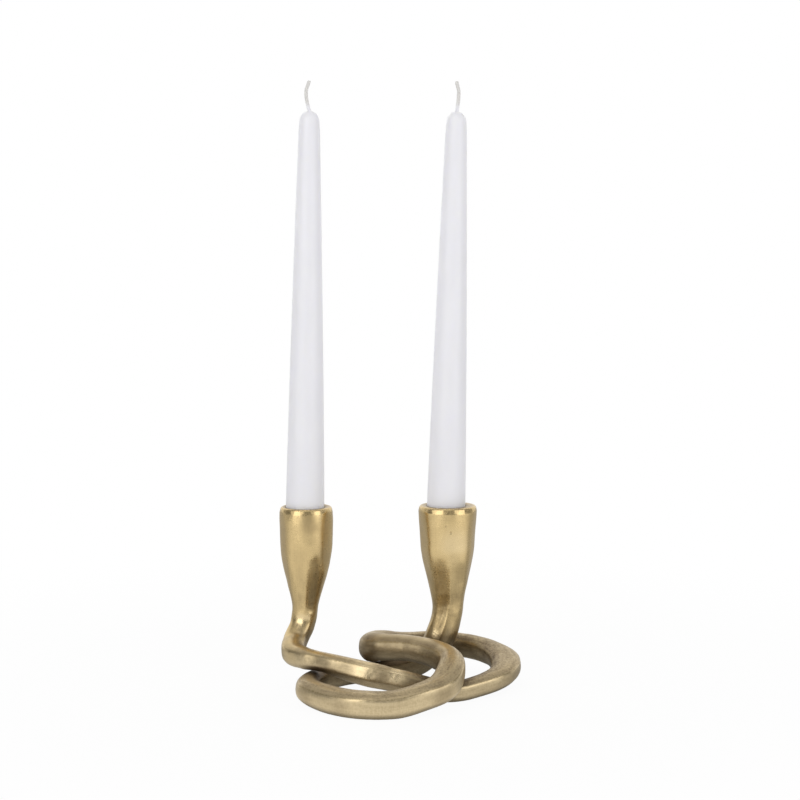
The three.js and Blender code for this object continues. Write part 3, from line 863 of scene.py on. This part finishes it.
def file_groove(rows, normals):
    """Files the groove of the right stem, wider to its left and with faint chatter marks."""
    path = np.array(STEM_GROOVE) * MM
    cut, near, run = np.zeros(len(rows)), np.full(len(rows), np.inf), 0.0
    for start, end in zip(path, path[1:]):
        way = end[:2] - start[:2]
        length = np.linalg.norm(way)
        share = np.clip((rows[:, (0, 2)] - start[:2]) @ way / length**2, 0, 1)
        spots = start + share[:, None] * (end - start)
        off = rows[:, (0, 2)] - spots[:, :2]
        away = np.linalg.norm(off, axis=1)
        down = run + share * length
        leftward = 1 + GROOVE_LEFT_FLARE - GROOVE_LEFT_FLARE * ease(0, GROOVE_FLARE_RUN, down)
        reach = spots[:, 2] * np.where(off[:, 0] > 0, 1.0, leftward)
        chatter = 1 + CHATTER * np.sin(2 * math.pi * down / CHATTER_PITCH)
        scoop = np.clip(1 - (away / reach) ** GROOVE_HOLLOW, 0, 1) * ease(0, GROOVE_RUN_IN, down) * chatter
        cut = np.where(away < near, scoop, cut)
        near = np.minimum(near, away)
        run += length
    front = ease(*GROOVE_FACING, -normals[:, 1]) * (np.abs(rows[:, 1] - STEM_FRONT) < STEM_FRONT_BAND)
    rows -= normals * (STEM_GROOVE_DEPTH * MM * cut * front)[:, None]


def rub(skin, iterations, share=1.0):
    """Smooths a skin, all over or by a share for each corner."""
    before = places(skin)
    modify(skin, "SMOOTH", factor=RUB_FACTOR, iterations=iterations)
    place(skin, before + (places(skin) - before) * np.reshape(share, (-1, 1)))


def dress_cup(skin, cup, neck):
    """Rubs over the neck and barrel of a cup, dents its skin and draws its socket in to the candle."""
    height = places(skin)[:, 2]
    passes, near, far = CUPS[cup]["rub"]
    rub(skin, passes, 1 - ease(near * MM, far * MM, np.abs(height - neck)))
    rim = CUPS[cup]["rim"][0] * MM
    under_rim = 1 - ease(rim - BARREL_BELOW_RIM[0], rim - BARREL_BELOW_RIM[1], height)
    rub(skin, BARREL_PASSES, ease(neck, neck + BARREL_ABOVE_NECK, height) * under_rim)
    rows, normals = places(skin), facings(skin)
    dent(rows, normals)
    file_groove(rows, normals)
    close_socket(rows, cup.split("_")[0], bpy.context.scene.holder_candles.base / 2)
    place(skin, rows)
    if cup == "right_cup":
        fade, end = (neck + reach for reach in GROOVE_ABOVE_NECK)
        rub(skin, GROOVE_PASSES, 1 - ease(fade, end, rows[:, 2]))


def ripple(skin, sizes):
    """Leaves slow waves and hammer marks on a skin, but not where it stands on the table."""
    for spread, depth, on_cups in (
        (WAVE_SPREAD, sizes.unevenness, 1.0),
        (HAMMER_SPREAD, sizes.hammering, HAMMER_ON_CUPS),
    ):
        waves = bpy.data.textures.new("filing_waves", "CLOUDS")
        waves.noise_scale, waves.noise_depth = spread, 1
        before = places(skin)
        modify(skin, "DISPLACE", texture=waves, texture_coords="LOCAL", strength=depth, mid_level=0.6)
        height = before[:, 2]
        lifted = ease(*OFF_TABLE, height) * (1 - (1 - on_cups) * ease(*ONTO_CUPS, height))
        lifted *= 1 - RIM_EVENNESS * ease(*ONTO_RIMS, height)
        place(skin, before + (places(skin) - before) * lifted[:, None])


def file_skin(skin, names, course, sizes):
    """Files a rough skin true to the course and the cup, rubs it over, and marks it for the finish."""
    rows, normals = places(skin), facings(skin)
    along, around = np.zeros(len(rows)), np.zeros(len(rows))
    cup = next((name for name in names if name in CUPS), None)
    neck = CUPS[cup]["neck"][0] * MM if cup else math.inf
    for name in names:
        if name != cup:
            along, around = file_bar(rows, normals, course, name, neck)
    if cup:
        around = np.where(rows[:, 2] > neck, file_cup(rows, normals, cup), around)
        down, joint = (1, 0) if cup == "left_cup" else (-1, course.travel[-1])
        along = np.where(rows[:, 2] > neck, joint - down * (rows[:, 2] - neck), along)
    place(skin, rows)
    rub(skin, sizes.softening)
    if cup:
        dress_cup(skin, cup, neck)
    ripple(skin, sizes)
    rows = places(skin)
    golden = np.clip((rows[:, 2] / MM - POLISH_FROM) / POLISH_RUN, -1, 2)
    # Spots of painted highlight, and spots of dull tarnish
    glints_and_dull_spots = sum(share * nearness(rows, spot, radius, SPOT_CORE) for *spot, radius, share in GLINT_AND_DULL_SPOTS)
    mark(skin, "along", along)
    mark(skin, "around", around)
    mark(skin, "polish", golden if cup else np.full(len(rows), -1.0))
    mark(skin, "glints_and_dull_spots", glints_and_dull_spots)


def mark(skin, name, values):
    """Keeps a number for each corner, as an attribute for the finish."""
    attribute = skin.data.attributes.new(name, "FLOAT", "POINT")
    attribute.data.foreach_set("value", values.astype(np.float32))


def mark_ridges(skin):
    """Marks how far each spot stands out of its surroundings."""
    alone(skin)
    bpy.ops.object.duplicate()
    rubbed = bpy.context.object
    modify(rubbed, "SMOOTH", factor=RUB_FACTOR, iterations=RIDGE_PASSES)
    out = ((places(skin) - places(rubbed)) * facings(skin)).sum(1)
    bpy.data.objects.remove(rubbed)
    mark(skin, "ridge", np.clip(out / RIDGE_HEIGHT, -1, 1))


def part_at_seam(skin, seam):
    """Cuts a skin through at a weld."""
    centres = np.empty(len(skin.data.polygons) * 3)
    skin.data.polygons.foreach_get("center", centres)
    near = np.flatnonzero(seam.is_near(centres.reshape(-1, 3)))
    with editing(skin, "FACE", "DESELECT") as edit_mesh:
        edit_mesh.faces.ensure_lookup_table()
        pick(edit_mesh, [edit_mesh.faces[i] for i in near])
        bpy.ops.mesh.bisect(plane_co=seam.centre, plane_no=seam.axis)
        bpy.ops.mesh.edge_split(type="EDGE")


def join_copies(names, seams):
    """Copies of neighbouring lengths, each drawn past its welds, joined in one piece."""
    copies = {name: copy_of(name) for name in names}
    for seam in seams:
        for name in names:
            if name in seam.pair:
                overrun(copies[name], seam, CUP_OVERLAP if name in CUPS else SEAM_OVERRUN)
    together(list(copies.values()))
    bpy.ops.object.join()
    return bpy.context.object


def nearest_part(parts, name):
    """The part that lies nearest to the middle of a CAD node."""
    middle = sum(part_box(name), Vector()) / 2
    return min(parts, key=lambda part: (middle - Vector(places(part).mean(0))).length)


def cast_group(names, seams, course, sizes):
    """Casts neighbouring lengths in one skin and parts them at their welds."""
    own = [seam for seam in seams if set(seam.pair) & set(names)]
    skin = join_copies(names, own)
    modify(skin, "REMESH", mode="VOXEL", voxel_size=sizes.grain)
    file_skin(skin, names, course, sizes)
    mark_ridges(skin)
    for seam in own:
        part_at_seam(skin, seam)
    with editing(skin):
        bpy.ops.mesh.separate(type="LOOSE")
    parts = sorted(bpy.context.selected_objects, key=lambda part: len(part.data.vertices), reverse=True)
    for waste in parts[len(names):]:
        bpy.data.objects.remove(waste)
    lengths = {name: nearest_part(parts[: len(names)], name) for name in names}
    for piece in lengths.values():
        with editing(piece, "EDGE"):
            bpy.ops.mesh.fill_holes(sides=0)
        shade(piece, CAST_EDGE)
    return lengths


class HOLDER_OT_cast_brass(Operator):
    """Make the brass casting: five lengths of the knotted bar and two cups"""

    bl_idname = "holder.cast_brass"
    bl_label = "Cast the Brass"

    def execute(self, context):
        sizes = context.scene.holder_casting
        chain = [name for group in CASTING_GROUPS for name in group]
        seams = [Seam(*pair) for pair in zip(chain, chain[1:])]
        course = Course()
        material = brass_finish(sizes)
        for names in CASTING_GROUPS:
            for name, piece in cast_group(names, seams, course, sizes).items():
                settle(piece, f"{name}_brass", "holder", "brass", material, name)
        return {"FINISHED"}


def stand_in_socket(piece, side):
    """Moves a piece that was made upright over the origin to its place in a socket."""
    alone(piece)
    turn = Matrix.Rotation(CANDLE_LEANS[side], 3, "Y")
    piece.rotation_euler.y = CANDLE_LEANS[side]
    piece.location = SOCKET_MOUTHS[side] + turn @ Vector((0, 0, CANDLE_BASES[side]))
    bpy.ops.object.transform_apply(location=True, rotation=True, scale=True)


def taper_courses(sizes):
    """Heights and radii of a taper from its foot to its crown."""
    base, top = sizes.base / 2, sizes.top / 2
    shoulder = sizes.length - CROWN_HEIGHT
    courses = [(0.0, base - TAPER_BEVEL), (TAPER_BEVEL, base), (SEAT_HEIGHT, base)]
    for i in range(1, TAPER_STEPS + 1):
        share = i / TAPER_STEPS
        swell = 4 * TAPER_SWELL * share * (1 - share)
        height = SEAT_HEIGHT + (shoulder - SEAT_HEIGHT) * share
        courses.append((height, base + (top - base) * share + swell))
    return courses + [(shoulder + rise, top * share) for rise, share in CROWN]


def draw_taper(courses):
    """A taper drawn up from a disc course by course, upright over the origin."""
    bpy.ops.object.select_all(action="DESELECT")
    bpy.ops.mesh.primitive_circle_add(vertices=48, radius=courses[0][1], fill_type="NGON")
    taper = bpy.context.object
    with editing(taper, "FACE"):
        for (low, narrow), (high, wide) in zip(courses, courses[1:]):
            bpy.ops.mesh.extrude_region_move(TRANSFORM_OT_translate={"value": (0, 0, high - low)})
            bpy.ops.transform.resize(value=(wide / narrow, wide / narrow, 1))
        for inset, sink in CROWN_INSETS:
            bpy.ops.mesh.inset(thickness=inset)
            bpy.ops.transform.translate(value=(0, 0, sink))
    with editing(taper, "FACE"):
        bpy.ops.mesh.normals_make_consistent(inside=False)
    modify(taper, "SUBSURF", levels=2, render_levels=2)
    shade(taper, WAX_EDGE)
    return taper


class HOLDER_OT_dip_tapers(Operator):
    """Make the two wax tapers"""

    bl_idname = "holder.dip_tapers"
    bl_label = "Dip the Tapers"

    def execute(self, context):
        sizes = context.scene.holder_candles
        material = wax_finish(sizes)
        courses = taper_courses(sizes)
        for side in SOCKET_MOUTHS:
            taper = draw_taper(courses)
            stand_in_socket(taper, side)
            settle(taper, f"{side}_taper_wax", f"{side}_taper", "wax", material, f"{side}_candle")
        return {"FINISHED"}


def wick_lean(up, bow, tip):
    """How far aside a wick stands at a share of its free length."""
    if up < BOW_HEIGHT:
        return bow * math.sin(up / BOW_HEIGHT * math.pi / 2)
    return bow + (tip - bow) * float(ease(BOW_HEIGHT, 1.0, up))


def lay_yarn(sizes, side, strand):
    """One yarn of a braid as a curve, upright over the origin."""
    thick = sizes.wick * YARN_SHARE
    swing = sizes.wick / 2 - thick
    curve = bpy.data.curves.new(f"{side}_yarn", "CURVE")
    curve.dimensions = "3D"
    curve.bevel_depth = thick
    curve.bevel_resolution = 2
    curve.use_fill_caps = True
    spline = curve.splines.new("POLY")
    spline.points.add(YARN_POINTS - 1)
    for i, point in enumerate(spline.points):
        z = (sizes.length + WICK_FREE - thick) * i / (YARN_POINTS - 1)
        turn = 2 * math.pi * (z / BRAID_PITCH + strand / YARNS)
        up = max(0.0, (z - sizes.length) / WICK_FREE)
        x = wick_lean(up, *WICK_BOWS[side]) + swing * math.sin(turn)
        point.co = (x, 0.5 * swing * math.sin(2 * turn), z, 1)
    yarn = bpy.data.objects.new(f"{side}_yarn", curve)
    bpy.context.scene.collection.objects.link(yarn)
    return yarn


class HOLDER_OT_braid_wicks(Operator):
    """Make the two braided wicks"""

    bl_idname = "holder.braid_wicks"
    bl_label = "Braid the Wicks"

    def execute(self, context):
        sizes = context.scene.holder_candles
        material = cotton_finish(sizes)
        for side in WICK_BOWS:
            together([lay_yarn(sizes, side, strand) for strand in range(YARNS)])
            bpy.ops.object.convert(target="MESH")
            bpy.ops.object.join()
            wick = bpy.context.object
            merge(wick)
            mark(wick, "soaked", 1 - ease(*WAX_SOAKED, places(wick)[:, 2] - sizes.length))
            shade(wick, WICK_EDGE)
            stand_in_socket(wick, side)
            settle(wick, f"{side}_wick_braid", f"{side}_taper", "cotton", material, f"{side}_wick")
        return {"FINISHED"}


def aim_camera(scene, settings):
    """Stands the camera where the photo was taken."""
    bpy.ops.object.camera_add(location=settings.camera_place, rotation=(settings.camera_pitch, 0, 0))
    camera = bpy.context.object
    camera.data.sensor_width = 36
    camera.data.lens = settings.lens
    camera.data.clip_start, camera.data.clip_end = 0.01, 100
    scene.camera = camera


def floor_finish():
    """White to the eye; in the brass it glows as a painted reflection of bright and dark sectors, with a
    painted shadow that makes it darker close to the bar.
    """
    finish = Finish(bpy.data.materials.new("pale_floor"))
    step = finish.step
    rays = ("Is Camera Ray", "Is Glossy Ray", "Is Transmission Ray")
    camera, glossy, through = (finish.node("ShaderNodeLightPath", output=ray) for ray in rays)
    seen = camera.math("MAXIMUM", camera, camera.math("MAXIMUM", glossy, through))
    spot = finish.node("ShaderNodeTexCoord", output="Object")
    sideways, lengthways = (finish.node("ShaderNodeSeparateXYZ", {}, (spot,), axis) for axis in "XY")
    out = sideways.math("SQRT", sideways * sideways + lengthways * lengthways)
    turn = out.math("ARCTAN2", sideways, 0 - lengthways)

    # Painted reflection: bright sectors to the left and right, a dark gap in front, a dim far side and a
    # darker patch before the right loop
    left = 0.55 * step(turn, -2.2, -1.8) + 0.45 * step(turn, -1.5, -1.2)
    left = left * (1 - step(turn, -0.32, -0.1))
    right = step(turn, 0.3, 0.55) * (1 - step(turn, 1.5, 1.9)) * step(out, 0.08, 0.18)
    close_right = step(sideways, 0.03, 0.075) * (1 - step(out, 0.1, 0.2))
    ahead = step(0 - lengthways, -0.02, 0.04) * (1 - 0.7 * step(out, 0.45, 0.9))
    ahead = ahead * (1 - 0.5 * close_right)
    behind = step(lengthways, 0.02, 0.2) * 0.3
    bright = left.math("MAXIMUM", left + right, left.math("MAXIMUM", ahead, behind))
    # Painted shadow: the glow seen in the brass fades where the bar stands close
    open_air = step(finish.openness(FLOOR_SHELTER), 0.1, 0.85)
    mirrored = (0.35 + 0.65 * bright) * (0.2 + 0.8 * open_air)

    matte = finish.node("ShaderNodeBsdfDiffuse", {}, {"Color": (0.87, 0.87, 0.87, 1)})
    shown = camera + (1 - camera) * mirrored
    glow = finish.node("ShaderNodeEmission", {}, {"Color": shown, "Strength": 1.0})
    glowing = seen * (0.95 + 0.05 * step(out, 0.12, 0.5))
    return finish.surface(finish.node("ShaderNodeMixShader", {}, (glowing, matte, glow)))


def lay_floor():
    """Lays the pale floor just under the object."""
    bpy.ops.mesh.primitive_plane_add(size=8, location=(0, 0, -FLOOR_DROP))
    floor = bpy.context.object
    floor.name = "pale_floor"
    floor.visible_shadow = False
    floor.data.materials.append(floor_finish())


def studio_world():
    """White to the eye; a dim room with a bright far wall and ceiling for everything else."""
    finish = Finish(bpy.data.worlds.new("studio"))
    camera = finish.node("ShaderNodeLightPath", output="Is Camera Ray")
    facing = finish.node("ShaderNodeTexCoord", output="Generated")
    away, up = (finish.node("ShaderNodeSeparateXYZ", {}, (facing,), axis) for axis in "YZ")
    front = finish.step(0 - away, 0.3, 0.9)
    behind = finish.step(away, 0.1, 0.7)
    above = finish.step(up, 0.3, 0.95)
    room = (0.2 + front * 0.1 + behind * 0.9 + above * 0.27) * finish.step(up, -0.06, -0.02)
    shown = camera + (1 - camera) * room
    return finish.surface(finish.node("ShaderNodeBackground", {}, {"Color": shown, "Strength": 1.0}))


def hang_lamps():
    """Hangs the soft lamps and turns them to the object."""
    for name, (spot, width, height, power) in LAMPS.items():
        bpy.ops.object.light_add(type="AREA", location=spot)
        lamp = bpy.context.object
        lamp.name = name
        lamp.data.shape = "RECTANGLE"
        lamp.data.size, lamp.data.size_y = width, height
        lamp.data.energy = power
        lamp.rotation_euler = (LAMP_AIM - Vector(spot)).to_track_quat("-Z", "Y").to_euler()


class HOLDER_OT_set_stage(Operator):
    """Set up the camera, the soft lamps and the pale floor"""

    bl_idname = "holder.set_stage"
    bl_label = "Set the Stage"

    def execute(self, context):
        scene = context.scene
        scene.view_settings.view_transform = "Standard"
        bpy.ops.object.select_all(action="DESELECT")
        aim_camera(scene, scene.holder_stage)
        lay_floor()
        scene.world = studio_world()
        hang_lamps()
        return {"FINISHED"}


class HOLDER_PT_panel(Panel):
    """Lists the steps and their sizes"""

    bl_label = "Knotted Candle Holder"
    bl_idname = "HOLDER_PT_panel"
    bl_space_type = "VIEW_3D"
    bl_region_type = "UI"
    bl_category = "Holder"

    def draw(self, context):
        for step in STEPS:
            self.layout.operator(step.bl_idname)
        scene = context.scene
        for group in (scene.holder_casting, scene.holder_candles, scene.holder_stage):
            box = self.layout.box()
            for name in group.__annotations__:
                box.prop(group, name)


STEPS = (HOLDER_OT_set_stage, HOLDER_OT_cast_brass, HOLDER_OT_dip_tapers, HOLDER_OT_braid_wicks)
CLASSES = (CastingSizes, CandleSizes, StageSettings, *STEPS, HOLDER_PT_panel)


def register():
    for each in CLASSES:
        bpy.utils.register_class(each)
    bpy.types.Scene.holder_casting = PointerProperty(type=CastingSizes)
    bpy.types.Scene.holder_candles = PointerProperty(type=CandleSizes)
    bpy.types.Scene.holder_stage = PointerProperty(type=StageSettings)


def unregister():
    del bpy.types.Scene.holder_stage
    del bpy.types.Scene.holder_candles
    del bpy.types.Scene.holder_casting
    for each in reversed(CLASSES):
        bpy.utils.unregister_class(each)


def main():
    register()
    bpy.ops.holder.set_stage()
    bpy.ops.holder.cast_brass()
    bpy.ops.holder.dip_tapers()
    bpy.ops.holder.braid_wicks()


if __name__ == "__main__":
    main()
